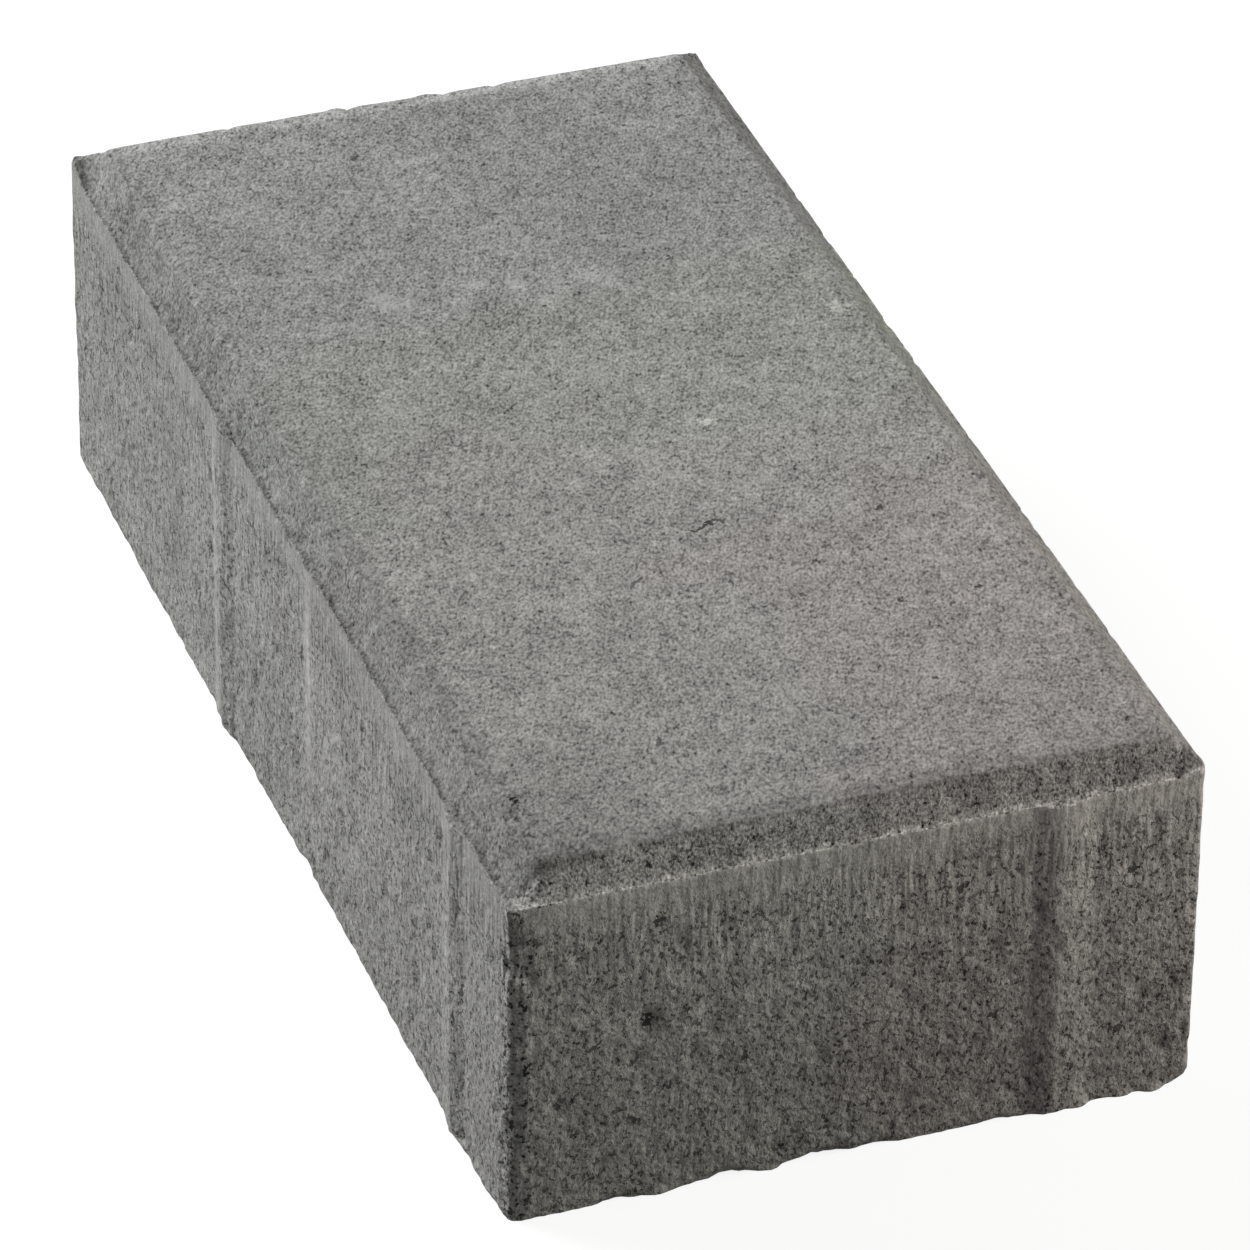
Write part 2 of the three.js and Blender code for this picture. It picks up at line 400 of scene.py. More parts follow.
# Bites out of the lower edge, and lumps where the depth is below zero: x, y, reach and depth.
BOTTOM_BITES = [
    (LEFT, FRONT, 3.5, -0.2),
    (-36, FRONT, 3.5, 0.5),
    (-29, FRONT, 3, -0.7),
    (-18.5, FRONT, 5, 1.1),
    (-12, FRONT, 2.5, -0.4),
    (-4.5, FRONT, 8, 1.0),
    (4, FRONT, 4, 0.6),
    (22.5, FRONT, 5, 0.3),
    (35.5, FRONT, 2.6, -0.8),
    (-23.5, FRONT, 2.5, 0.4),
    (42.5, FRONT, 2.5, -0.6),
    (47, FRONT, 3, -0.9),
    (RIGHT, FRONT, 3.2, 1.1),
    (LEFT, -12.5, 4, 0.5),
    (LEFT, 102, 42, 0.35),
    (LEFT, -95, 6, -0.3),
    (LEFT, -86.5, 3.5, -0.35),
    (LEFT, 25.5, 4, -0.25),
    (LEFT, 31.5, 3, -0.25),
    (LEFT, -91.5, 3, -0.25),
]
SMALL_BITE_WAVES = [(0.3, (2.5, 2.5, 8), 21)]  # of which only the size counts: bites all along the edge
LOWER_EDGE_WAVES = [(0.15, (9, 9, 20), 22)]
BITE_WAVES = [(0.35, 1.6, 23)]  # in the depth of all bites
BITE_HEIGHT = 0.8  # how far up a bite reaches
BITE_STEEPNESS = 1.2  # and how much further for each millimetre of its depth
BITE_LIFT = 0.4  # how far it lifts the lower edge, as a share of its depth
BITE_LIFT_REACH = 2

GROOVE_DEPTH = 0.55
GROOVE_Y = -10.1
GROOVE_FAR = 17
GROOVE_NEAR = 6.5  # its steep flank, towards the front
GROOVE_RISE = (10, 26)  # heights

CORNER_WEAR = 0.7  # how far the walls fall back at the near left corner, below its upper end
CORNER_WEAR_TOP = (48, 55)  # heights over which this ends
CORNER_WEAR_WAVES = [(0.4, (3, 3, 5), 13)]
WEAR_ALONG_LEFT = 5.5
WEAR_ALONG_FRONT = 3.2
WEAR_FADE = 4.0

# The upright corners are ragged, and so is the cap at the near left one.
RAGGED_REACH = 1.1
RAGGED_DEPTH = 0.12
RAGGED_WAVES = [(1, (1.8, 1.8, 2.6), 6)]
NEAR_RAGGED = (0.15, 4)  # further depth at the near left one, and its reach
NEAR_CAP = (0.16, 20)
NEAR_CAP_WAVES = [(1, 2.1, 16)]

BACK_SAG = 0.5  # how far the back wall falls back at its left corner
BACK_SAG_REACH = 3.5
FACING = 0.7  # how far back the normals of the back wall's faces point at least

# The thin burr that the mould leaves along the walls' upper edge, and the crevice behind it.
FIN_INSET = 0.18
FIN_WIDTH = 0.4
FIN_HEIGHTS = [0.08, 0.14, 0.08, 0.1]
FIN_WAVES = [(0.9, 1.9, 8)]
CREVICE_INSET = 0.55
CREVICE_WIDTH = 0.35
CREVICE_DEPTH = 0.1
CREVICE_WAVES = [(0.6, 1.7, 9)]
LIP_SWAYS = [0.55, 0.12, 0.1, 0.05]  # how much the lip's height wanders
LIP_WAVES = [(1, (7, 7, 60), 14), (0.5, (2.6, 2.6, 60), 15)]
LIP_REACH = 3

# Small chips out of the lip.
CHIP_DEPTH = 0.25
CHIP_REACH = 1.2
CHIP_WAVES = [(1, 2.4, 7)]
CHIP_LEVELS = (0.3, 0.7)  # range of the waves
CHIPPED_FIN = 0.8  # share of the burr that a chip takes away

# Lumps left standing on the lip, and chips out of it and the shoulder where the height is below zero: x,
# y, reaches in x and y, and height.
CRUMBS = [
    (RIGHT - 1.8, FRONT + 1.8, 2.8, 3.2, 1.1),
    (LEFT, BACK - 0.5, 6, 7.5, 1.45),
    (RIGHT - 2, BACK - 1, 5, 5, 0.7),
    (LEFT, -5.2, 1.2, 2.2, -0.5),
    (LEFT, -14.9, 1.2, 2.6, -0.6),
    (LEFT, 58, 1.2, 2.0, -0.4),
    (-27, BACK - 4.3, 1.2, 1.5, -0.35),
    (-9.5, BACK - 4.3, 1.5, 1.5, 0.3),
    (-7, BACK - 4.3, 1.2, 1.5, -0.4),
    (5.5, BACK - 4.3, 2.2, 1.5, 0.3),
    (8.8, BACK - 4.3, 1.3, 1.5, -0.35),
    (17.5, BACK - 4.3, 1.2, 1.5, -0.45),
]
CRUMB_DROP = 1.5  # how far below the lip they reach
CRUMB_WAVES = [(0.15, 1.5, 12)]


def near_corner(points, amount, reach):
    """The amount at the near left corner, seen from above, falling smoothly to 0 at reach from it."""
    return amount * bump(np.hypot(points[:, 0] - LEFT, points[:, 1] - FRONT), reach)


def read(items, name, width):
    """A property, `width` numbers long, of all vertices or faces of a mesh."""
    values = np.empty(len(items) * width)
    items.foreach_get(name, values)
    return values.reshape(-1, width)


def random_pits(mesh, random):
    """Places, reaches and depths of pits, spread evenly over the walls and, fewer, over the cap, and of
    the large ones that have their own places."""
    area = read(mesh.polygons, "area", 1)[:, 0] / MM**2
    centre = read(mesh.polygons, "center", 3) / MM
    up = read(mesh.polygons, "normal", 3)[:, 2]
    pits = []
    for chosen, kind in [(np.abs(up) < WALL_LEAN, WALL_PITS), (up > CAP_LEAN, CAP_PITS)]:
        density, reaches, depths = kind
        weight = np.where(chosen, area, 0)
        number = round(weight.sum() * density)
        for index in random.choice(len(area), number, p=weight / weight.sum()):
            pits.append((centre[index], random.uniform(*reaches), random.uniform(*depths)))
    return pits + [(np.array(spot), reach, depth) for spot, reach, depth in LARGE_PITS]


def dents(points, pits):
    """How deep the pits are at each point."""
    squeeze = np.array([1, 1, 1 / PIT_STRETCH])
    tree = KDTree(len(points))
    for index, point in enumerate((points * squeeze).tolist()):
        tree.insert(point, index)
    tree.balance()
    depth_at = np.zeros(len(points))
    for centre, reach, depth in pits:
        for _, index, distance in tree.find_range((centre * squeeze).tolist(), reach):
            depth_at[index] = max(depth_at[index], depth * bump(distance, reach))
    return depth_at


def groove(points, kind):
    """Depth of the shallow upright step in the left wall: steep towards the front, and fading away
    towards the back and the ground."""
    y = points[:, 1] - GROOVE_Y
    share = bump(np.where(y > 0, y / GROOVE_FAR, y / GROOVE_NEAR), 1) * ramp(points[:, 2], *GROOVE_RISE)
    on_left = (kind == WALL) & (points[:, 0] < LEFT + WALL_DEPTH)
    return np.where(on_left, GROOVE_DEPTH * share, 0)


def corner_wear(points, kind):
    """How far the walls fall back, in x and in y, at the near left corner."""
    from_left, from_front = points[:, 0] - LEFT, points[:, 1] - FRONT
    below = np.where(kind == WALL, 1 - ramp(points[:, 2], *CORNER_WEAR_TOP), 0)
    depth = CORNER_WEAR * below * (1 + waves(points, CORNER_WEAR_WAVES))
    in_x = (1 - np.clip(from_front / WEAR_ALONG_LEFT, 0, 1)) ** 2 * bump(from_left, WEAR_FADE)
    in_y = (1 - np.clip(from_left / WEAR_ALONG_FRONT, 0, 1)) ** 2 * bump(from_front, WEAR_FADE)
    return depth * in_x, depth * in_y


def bottom_bite(points, kind):
    """How far the walls' lower edge is eaten away."""
    depth = np.abs(waves(points, SMALL_BITE_WAVES)) + waves(points, LOWER_EDGE_WAVES)
    for x, y, reach, size in BOTTOM_BITES:
        depth += size * bump(np.hypot(points[:, 0] - x, points[:, 1] - y), reach)
    depth *= 1 + waves(points, BITE_WAVES)
    tall = BITE_STEEPNESS * np.abs(depth) + BITE_HEIGHT
    share = np.clip(1 - points[:, 2] / tall, 0, 1)
    return np.where(kind == WALL, depth * share, 0)


def roughen(points, normals, kind, inset, corner, pits):
    """Moves the smooth stone's points to those of the real, rough one. Also gives how deep each point is
    in a pit, and how high on the burr."""
    wall, cap = kind == WALL, kind == CAP
    x, y, z = points.T
    shares = side_shares(x - LEFT, y - FRONT)
    below_lip = np.where(wall, LIP - z, 0)
    from_lip = np.where(kind == UNDERSIDE, CORNER_ZONE, inset - below_lip)  # below zero on the walls

    coarse = np.where(wall, mix(LIP_ROUGHNESS, 1, ramp(below_lip, *ROUGHNESS_RISE)), 1)
    hollow = dents(points, pits) * coarse
    shift = waves(points, BROAD_WAVES) - hollow - groove(points, kind)
    shift += np.where(wall, waves(points, WALL_WAVES) * coarse, waves(points, CAP_WAVES))

    on_back = wall & (normals[:, 1] > FACING)
    shift -= np.where(on_back, BACK_SAG * np.clip(1 - (x - LEFT) / BACK_SAG_REACH, 0, 1) ** 2, 0)
    at_corner = np.where(wall, np.exp(-((corner / RAGGED_REACH) ** 2)), 0)
    ragged_depth = RAGGED_DEPTH + near_corner(points, *NEAR_RAGGED)
    shift -= at_corner * ragged_depth * waves(points, RAGGED_WAVES)
    near_cap = np.where(cap & (inset < CORNER_ZONE), near_corner(points, *NEAR_CAP), 0)
    shift += near_cap * waves(points, NEAR_CAP_WAVES)
    chips = ramp(waves(points, CHIP_WAVES), *CHIP_LEVELS)
    shift -= CHIP_DEPTH * chips * bump(from_lip, CHIP_REACH)
    shift = np.where(kind == UNDERSIDE, 0, shift)

    moved = points + normals * shift[:, None]
    in_x, in_y = corner_wear(points, kind)
    moved[:, 0] += in_x
    moved[:, 1] += in_y

    fin = bump(from_lip - FIN_INSET, FIN_WIDTH) * (1 + waves(points, FIN_WAVES)) * (1 - CHIPPED_FIN * chips)
    crevice = bump(from_lip - CREVICE_INSET, CREVICE_WIDTH) * (1 + waves(points, CREVICE_WAVES))
    moved[:, 2] += by_side(shares, FIN_HEIGHTS) * fin - CREVICE_DEPTH * crevice
    moved[:, 2] += by_side(shares, LIP_SWAYS) * waves(points, LIP_WAVES) * bump(from_lip, LIP_REACH)
    crumbs = 0
    for crumb_x, crumb_y, reach_x, reach_y, height in CRUMBS:
        crumbs = crumbs + height * bump(np.hypot((x - crumb_x) / reach_x, (y - crumb_y) / reach_y), 1)
    moved[:, 2] += np.where(from_lip > -CRUMB_DROP, crumbs, 0) * (1 + waves(points, CRUMB_WAVES))

    outward = normals * [1, 1, 0]
    outward /= np.maximum(np.linalg.norm(outward, axis=1), TINY)[:, None]
    bite = bottom_bite(points, kind)
    moved -= outward * bite[:, None]
    lift = BITE_LIFT * np.maximum(bite, 0)
    moved[:, 2] += np.where(wall, lift * bump(z, BITE_LIFT_REACH), 0)
    lowest = wall & (z == 0)
    moved[lowest, 2] = lift[lowest]
    return np.clip(moved, low, high), {"hollow": hollow, "fin": fin}


# ---- Tones and marks ----

# Tones of the chamfer, of the worn band and of the ledge, as shares of the wearing face's. Each side has
# one for each place in TONE_PLACES, from its near or left end to its far or right end. The ledge's tones
# are painted highlight and painted shadow, and the front chamfer's pale near end is painted light.
TONE_PLACES = [0.0, 0.3, 0.6, 0.9, 1.0]
CHAMFER_TONES = [
    (0.84, 0.82, 0.78, 0.69, 0.95),
    (1.26, 1.08, 0.97, 0.93, 0.93),
    (0.84, 0.92, 0.88, 0.74, 0.74),
    [0.84] * 5,
]
BAND_TONES = [
    (0.82, 0.8, 0.9, 0.9, 0.94),
    (0.75, 0.74, 0.78, 0.82, 0.82),
    (0.88, 0.98, 0.98, 0.92, 0.92),
    [1.22] * 5,
]
# Painted highlight along the front and right lips, and painted shadow along the left one.
LEDGE_LIGHT_AND_SHADE = [
    (0.8, 0.84, 0.79, 0.77, 0.8),
    (1.75, 1.85, 1.85, 1.85, 1.85),
    [1.35] * 5,
    [1.0] * 5,
]
GRAIN_LEVELS = [1.02, 1.3, 0.95, 1.0]  # how strong the grain is on the chamfer and its ledge
SHOULDER_EDGE = (-0.4, 0.5)  # range past the shoulder over which the chamfer's tone gives way to the band's
BAND_EDGE = (BAND_WIDTH - 0.5, BAND_WIDTH + 0.7)  # and over which that gives way to the wearing face's
LEDGE_EDGE = (-0.3, 0.3)  # range past the ledge's painted highlight or shadow
LEDGE_EDGE_WAVES = [(0.4, 2.2, 33)]
FRONT_LEDGE_CUT = 0.25  # how much narrower than the ledge the painted highlight strip is at the front

# What differs at the near left corner: by how much, and its reach.
CORNER_LEDGE_CUT = (0.35, 12)  # the front's painted highlight strip is narrower still
CORNER_LEDGE_DIMMING = (0.25, 12)  # and its painted highlight is dimmer
CORNER_CHAMFER_LIGHT = (0.5, 9)  # the chamfer has painted light on it, which makes it paler
CORNER_WALL_GRAIN = (0.7, 4.5)  # the walls' grain is stronger
CORNER_ROUGHNESS = (0.8, 6)  # and their upper part is less smooth

# Painted shadow of the burr along the left lip, in ragged dark patches at the foot of the left chamfer.
LIP_SHADOW_TONE = -0.3
LIP_SHADOW_INSET = -0.1  # from the ledge's edge
LIP_SHADOW_REACH = 1.3
LIP_SHADOW_WAVES = [(1, (1.6, 1.6, 3), 35)]
LIP_SHADOW_LEVELS = (0, 0.5)

# Darker and paler clouds on the wearing face: x, y, reach and tone.
CLOUDS = [
    (-40, -92, 24, -0.16),
    (0, -105, 40, -0.07),
    (40, -105, 30, -0.06),
    (30, -86, 16, -0.08),
    (45, -40, 14, 0.05),
    (20, -6, 34, 0.05),
    (-42, 4, 14, -0.08),
    (-22, 60, 34, -0.08),
    (24, 62, 34, -0.12),
    (-42, 70, 12, -0.05),
    (10, 100, 32, -0.12),
]

# Tones of the walls by height, from the ground up: heights and, at each, the tone.
WALL_HEIGHTS = [0, 15, 30, 42, 50, 55]
FRONT_WALL_TONES = [0.97, 0.97, 1.06, 1.18, 1.15, 1.12]
OTHER_WALL_TONES = [0.97, 0.97, 1.04, 1.02, 0.88, 0.81]

# Broad parts of the left and front walls that differ: the range along the wall and the range of heights
# over which they set in, and their tone.
LEFT_WALL_PART = ((35, 60), (8, 25), -0.09)
FRONT_WALL_PART = ((38, 42), (10, 20), 0.1)

# Painted light on the front rib's shaded left flank and painted shade on its lit right slope: x, reach and
# tone, and the heights over which they set in.
RIB_FLANKS = [(32.8, 2.4, -0.14), (28.8, 2.2, 0.12)]
RIB_FLANK_RISE = (40, 46)

# Painted highlight along the top of the front wall, taken from the ledge's.
WALL_LIP_HIGHLIGHT = 0.6  # as a share of the ledge's
WALL_LIP_REACH = 0.8
WALL_LIP_WAVES = [(1, (1.6, 1.6, 4), 34)]
WALL_LIP_LEVELS = (-0.5, 0.4)

OTHER_WALL_GRAIN = -0.13  # how much the other walls' grain differs from the front wall's
FAR_WALL_GRAIN = -0.06  # in addition, on their far half
FAR_WALL_RANGE = (0, 60)  # y

SMOOTH_TOP = (2, 9)  # distances below the lip over which the smooth part of the walls ends
SMOOTH_TOP_WAVES = [(2, (4, 4, 30), 31)]
CREST_SMOOTHNESS = 0.8  # on the front rib
CREST_RISE = (0.85, 1.05)  # how far the rib stands out where it sets in

# Upright smooth strips on the left wall, over the lit far slopes of the ribs and the groove's lit flank,
# where their paleness is painted highlight: y, reach, the height where they fade out below, and strength.
SMOOTH_LIT_STRIPS = [
    (-13.9, 3.4, 18, 0.85),
    (-79.1, 2.6, 0, 0.3),
    (30.6, 2.2, 0, 1.0),
]
STRIP_FADE = (-8, 6)  # heights from there
STRIP_WAVES = [(0.6, (9, 9, 12), 32)]


def smoothness(points, kind):
    """Where the mould has drawn the walls smooth: along their top, on a rib's crest and on strips. The
    paleness that goes with it is partly the smooth skin's own and partly painted highlight on the ribs and
    the groove.
    """
    x, y, z = points.T
    result = 1 - ramp(LIP - z + waves(points, SMOOTH_TOP_WAVES), *SMOOTH_TOP)
    result *= 1 - near_corner(points, *CORNER_ROUGHNESS)
    crest = np.where(y < FRONT + WALL_DEPTH, side_rise(x - LEFT, FRONT_RIBS), 0)
    result = np.maximum(result, CREST_SMOOTHNESS * ramp(crest, *CREST_RISE))
    sway = waves(points, STRIP_WAVES)
    for strip_y, reach, fade, strength in SMOOTH_LIT_STRIPS:
        strip = strength * bump(y - strip_y + sway, reach) * ramp(z - fade, *STRIP_FADE)
        result = np.maximum(result, np.where(x < LEFT + WALL_DEPTH, strip, 0))
    return np.where(kind == WALL, result, 0)


def mark_fields(points, kind):
    """For each point near a mark, its place on the mark, with the mark's rim at 1, the mark's tone and how
    much it bends as a crack does."""
    x, y, z = points.T
    wall = kind == WALL
    faces = [
        (kind == CAP, x, y, CAP_MARKS),
        (wall & (x < LEFT + WALL_DEPTH), y, z, LEFT_MARKS),
        (wall & (y < FRONT + WALL_DEPTH), x, z, FRONT_MARKS),
    ]
    along, across = np.full(len(points), NO_MARK), np.full(len(points), NO_MARK)
    tone, bend = np.zeros(len(points)), np.zeros(len(points))
    for on_face, a, b, mark in [(*face, mark) for *face, marks in faces for mark in marks]:
        first, second, turn, length, width, mark_tone = mark
        turn = math.radians(turn)
        u = (a - first) * math.cos(turn) + (b - second) * math.sin(turn)
        v = (b - second) * math.cos(turn) - (a - first) * math.sin(turn)
        near = on_face & (np.abs(u) < length + MARK_MARGIN) & (np.abs(v) < width + MARK_MARGIN)
        near &= np.hypot(u / length, v / width) < np.hypot(along, across)
        along[near], across[near], tone[near] = u[near] / length, v[near] / width, mark_tone
        bend[near] = ramp(length / width, *CRACK_SHAPE) if mark_tone < 0 else 0
    return {"mark_along": along, "mark_across": across, "mark_tone": tone, "mark_bend": bend}


def cap_shade(points, shares, inset, chamfer_tone, band_tone, ledge_light_and_shade):
    """Tone of the cap, and how far each point is past the chamfer's shoulder."""
    x, y = points[:, 0], points[:, 1]
    on_left, on_front, _, _ = shares
    foot = by_side(shares, LEDGE_WIDTHS)
    cut = FRONT_LEDGE_CUT + near_corner(points, *CORNER_LEDGE_CUT)
    past_ledge = inset - (foot - on_front * cut) + waves(points, LEDGE_EDGE_WAVES)
    from_shoulder = inset - by_side(shares, CHAMFER_WIDTHS)
    past_shoulder = ramp(from_shoulder, *SHOULDER_EDGE)
    past_band = ramp(from_shoulder, *BAND_EDGE)

    # The ledge carries painted highlight or shadow, and past it comes the chamfer's tone.
    shade = mix(ledge_light_and_shade, chamfer_tone, ramp(past_ledge, *LEDGE_EDGE))
    # Ragged painted shadow along the left chamfer's foot.
    lip_shadow = ramp(waves(points, LIP_SHADOW_WAVES), *LIP_SHADOW_LEVELS) * bump(inset - foot - LIP_SHADOW_INSET, LIP_SHADOW_REACH)
    shade *= 1 + LIP_SHADOW_TONE * on_left * lip_shadow
    shade += (band_tone - chamfer_tone) * past_shoulder + (1 - band_tone) * past_band
    for cloud_x, cloud_y, reach, tone in CLOUDS:
        shade *= 1 + tone * past_band * bump(np.hypot(x - cloud_x, y - cloud_y), reach)
    return shade, past_shoulder


def wall_shade(points, kind, shares, ledge_light_and_shade):
    """Tone of the walls, with a painted highlight along the front wall's top and painted light and shade on
    the front rib's flanks.
    """
    x, y, z = points.T
    on_left, on_front, _, _ = shares
    tone = 1 + on_front * (np.interp(z, WALL_HEIGHTS, FRONT_WALL_TONES) - 1)
    tone += (1 - on_front) * (np.interp(z, WALL_HEIGHTS, OTHER_WALL_TONES) - 1)
    under_lip = np.where(kind == WALL, LIP - by_side(shares, LEDGE_DROPS) - z, 0)
    lip = bump(under_lip, WALL_LIP_REACH) * ramp(waves(points, WALL_LIP_WAVES), *WALL_LIP_LEVELS)
    # Painted highlight along the top of the front wall.
    tone += (ledge_light_and_shade - 1) * WALL_LIP_HIGHLIGHT * lip * on_front
    for on_side, place_along, (along, heights, part_tone) in [
        (on_left, y, LEFT_WALL_PART),
        (on_front, x, FRONT_WALL_PART),
    ]:
        tone *= 1 + part_tone * on_side * ramp(place_along, *along) * ramp(z, *heights)
    # Painted light and shade on the front rib's flanks.
    for flank_x, reach, flank_tone in RIB_FLANKS:
        tone *= 1 + flank_tone * on_front * bump(x - flank_x, reach) * ramp(z, *RIB_FLANK_RISE)
    return tone


def shades(points, kind, inset):
    """Each point's tone, which holds painted light and shade along the lips, at the near left corner and on
    the front rib, how strong its grain is, and how much it has the tint of the sides that look away: all by
    where it is."""
    x, y, _ = points.T
    shares = side_shares(x - LEFT, y - FRONT)
    on_left, on_front, _, on_back = shares
    across, along = (x - LEFT) / WIDTH, (y - FRONT) / LENGTH

    def side_tones(tones):
        places = (along, across, along, across)
        return by_side(shares, [np.interp(place, TONE_PLACES, row) for place, row in zip(places, tones)])

    chamfer_tone, band_tone, ledge_light_and_shade = map(side_tones, (CHAMFER_TONES, BAND_TONES, LEDGE_LIGHT_AND_SHADE))
    # Painted light on the chamfer at the near left corner, and a dimmer painted highlight on the ledge
    # there.
    chamfer_tone *= 1 + near_corner(points, *CORNER_CHAMFER_LIGHT)
    ledge_light_and_shade *= 1 - near_corner(points, *CORNER_LEDGE_DIMMING) * on_front
    on_cap, past_shoulder = cap_shade(points, shares, inset, chamfer_tone, band_tone, ledge_light_and_shade)
    on_wall = wall_shade(points, kind, shares, ledge_light_and_shade)

    cap_grain = mix(by_side(shares, GRAIN_LEVELS), 1, past_shoulder)
    wall_grain = 1 + near_corner(points, *CORNER_WALL_GRAIN)
    wall_grain += (1 - on_front) * (OTHER_WALL_GRAIN + FAR_WALL_GRAIN * ramp(y, *FAR_WALL_RANGE))
    return {
        "shade": np.where(kind == CAP, on_cap, on_wall),
        "grain": np.where(kind == CAP, cap_grain, wall_grain),
        "side": np.where(kind == CAP, (1 - past_shoulder) * (on_left + on_back), 1),
    }


def cast_stone():
    points, faces, kind, inset, corner = smooth_stone()
    mesh = bpy.data.meshes.new("paving_stone_cast")
    mesh.from_pydata((points * MM).tolist(), [], faces)
    random = np.random.default_rng(SEED)
    pits = random_pits(mesh, random)
    moved, fields = roughen(points, read(mesh.vertices, "normal", 3), kind, inset, corner, pits)
    mesh.vertices.foreach_set("co", (moved * MM).ravel())
    mesh.shade_smooth()

    fields["wall"] = kind == WALL
    fields["smooth"] = smoothness(points, kind)
    fields.update(shades(points, kind, inset))
    fields.update(mark_fields(points, kind))
    for name, values in fields.items():
        attribute = mesh.attributes.new(name, "FLOAT", "POINT")
        attribute.data.foreach_set("value", values.astype(np.float32))
    mesh.update()
    stone = bpy.data.objects.new("paving_stone_cast", mesh)
    bpy.context.scene.collection.objects.link(stone)
    return stone


# ---- Material ----


class Graph:
    """A material's or world's node tree, with a short call for each kind of node that is used."""

    def __init__(self, owner):
        owner.use_nodes = True
        self.tree = owner.node_tree
        self.tree.nodes.clear()

    def add(self, kind, inputs=None, **settings):
        node = self.tree.nodes.new(kind)
        for name, value in settings.items():
            setattr(node, name, value)
        for name, value in (inputs or {}).items():
            if isinstance(value, bpy.types.NodeSocket):
                self.tree.links.new(value, node.inputs[name])
            else:
                node.inputs[name].default_value = value
        return node

    def math(self, operation, first, second=0.0):
        return self.add("ShaderNodeMath", {0: first, 1: second}, operation=operation).outputs[0]

    def combined(self, operation, values):
        result = values[0]
        for value in values[1:]:
            result = self.math(operation, result, value)
        return result

    def total(self, *values):
        return self.combined("ADD", values)

    def product(self, *values):
        return self.combined("MULTIPLY", values)

    def length(self, first, second):
        """Length of the vector with these two parts."""
        return self.math("SQRT", self.total(self.product(first, first), self.product(second, second)))

    def scaled(self, vector, factors):
        return self.add("ShaderNodeVectorMath", {0: vector, 1: factors}, operation="MULTIPLY").outputs[0]

    def attribute(self, name):
        return self.add("ShaderNodeAttribute", attribute_name=name).outputs["Fac"]

    def noise(self, vector, cell, amount, detail=1.0, roughness=0.5):
        """Noise around 0 with features about `cell` mm across, times amount."""
        inputs = {"Vector": vector, "Scale": 1 / cell, "Detail": detail, "Roughness": roughness}
        value = self.add("ShaderNodeTexNoise", inputs).outputs["Fac"]
        return self.product(self.math("SUBTRACT", value, 0.5), amount)

    def ramp(self, value, start, end, low=0.0, high=1.0):
        inputs = {"Value": value, 1: start, 2: end, 3: low, 4: high}
        return self.add("ShaderNodeMapRange", inputs, interpolation_type="SMOOTHSTEP").outputs[0]

    # The node that blends has inputs and an output of its own for each type of value.
    def blend(self, factor, first, second):
        return self.add("ShaderNodeMix", {0: factor, 2: first, 3: second}, data_type="FLOAT").outputs[0]

    def blend_vectors(self, factor, first, second):
        return self.add("ShaderNodeMix", {0: factor, 4: first, 5: second}, data_type="VECTOR").outputs[1]

    def blend_colors(self, factor, first, second):
        return self.add("ShaderNodeMix", {0: factor, 6: first, 7: second}, data_type="RGBA").outputs[2]

    def finish(self, shader, output="ShaderNodeOutputMaterial"):
        self.add(output, {"Surface": shader})


FAR_GREY = (0.3165, 0.3180, 0.3113, 1)
FAR_SIDE_GREY = (0.3175, 0.3178, 0.3013, 1)
OLIVE_GREY = (0.3114, 0.3178, 0.2965, 1)  # of the middle part of the wearing face
NEAR_GREY = (0.3203, 0.3167, 0.3030, 1)
ROSE_GREY = (0.3320, 0.3110, 0.3010, 1)  # of the near right part
TINT = (1, 1, 0.995)
FRONT_TINT = (1, 1, 0.975)  # of the front wall

# Where these set in and are complete, along Y or, for the last one, along X.
OLIVE_RANGE = (46, 30)
NEAR_RANGE = (14, -12)
ROSE_RANGE = (-22, -50)
FRONT_RANGE = (-100, -104)
ROSE_RANGE_ACROSS = (-2, 22)

# The wearing face's grain is drawn out along a line that is turned from the length by these degrees.
GRAIN_TURN = -24
GRAIN_STRETCH = (1, 1.75, 1)
WALL_GRAIN_SCALE = (1.05, 0.78, 0.85)
DRAG_SCALE = (1, 1, 0.07)  # draws noises out upright: of the streaks on smooth walls
LONG_LUMP_SCALE = (1, 1, 0.22)  # and of the lumps on the walls' upper part
DRAG_RISE = (28, 46)  # heights over which those lumps set in

# Noises: cell in millimetres, amount and, where they aren't plain, detail and roughness.
COARSE_GRAIN = (1.7, 1.0, 3, 0.68)
FINE_GRAIN = (0.42, 1.0)
SPECKS = (0.75, 1.0, 2)
STREAKS = (0.8, 0.1)
ROUND_LUMPS = (1.4, 0.45)
LONG_LUMPS = (1.3, 0.6)
CRACK_BENDS = (1.1, 7)
MARK_RAGGEDNESS = (0.7, 3.0)
TINT_WANDER_X = (30, 60)
TINT_WANDER_Y = (24, 60)
BROAD_TONES = (12, 0.55, 3, 0.6)
NARROW_TONES = (4.5, 0.42)

# What the grain counts for, on the cap and on the walls: in the relief, in millimetres, and in the tone.
# The tone goes with the relief, darker where it is low, so it is partly painted shade in the grain's
# hollows and partly the grain's own mottling.
COARSE_RELIEF, COARSE_TONE = (0.3, 0.45), (1.15, 1.5)
FINE_RELIEF, FINE_TONE = (0.12, 0.09), (2.1, 1.1)
HOLE_RELIEF, HOLE_TONE = (-0.05, -0.12), (-0.34, -0.62)
HOLE_LEVELS = (-0.13, -0.06)  # range of the specks' noise below which there are holes
PALE_SPECK_LEVELS = (0.15, 0.22)  # and above which there are pale specks
PALE_SPECK_TONE = 0.4

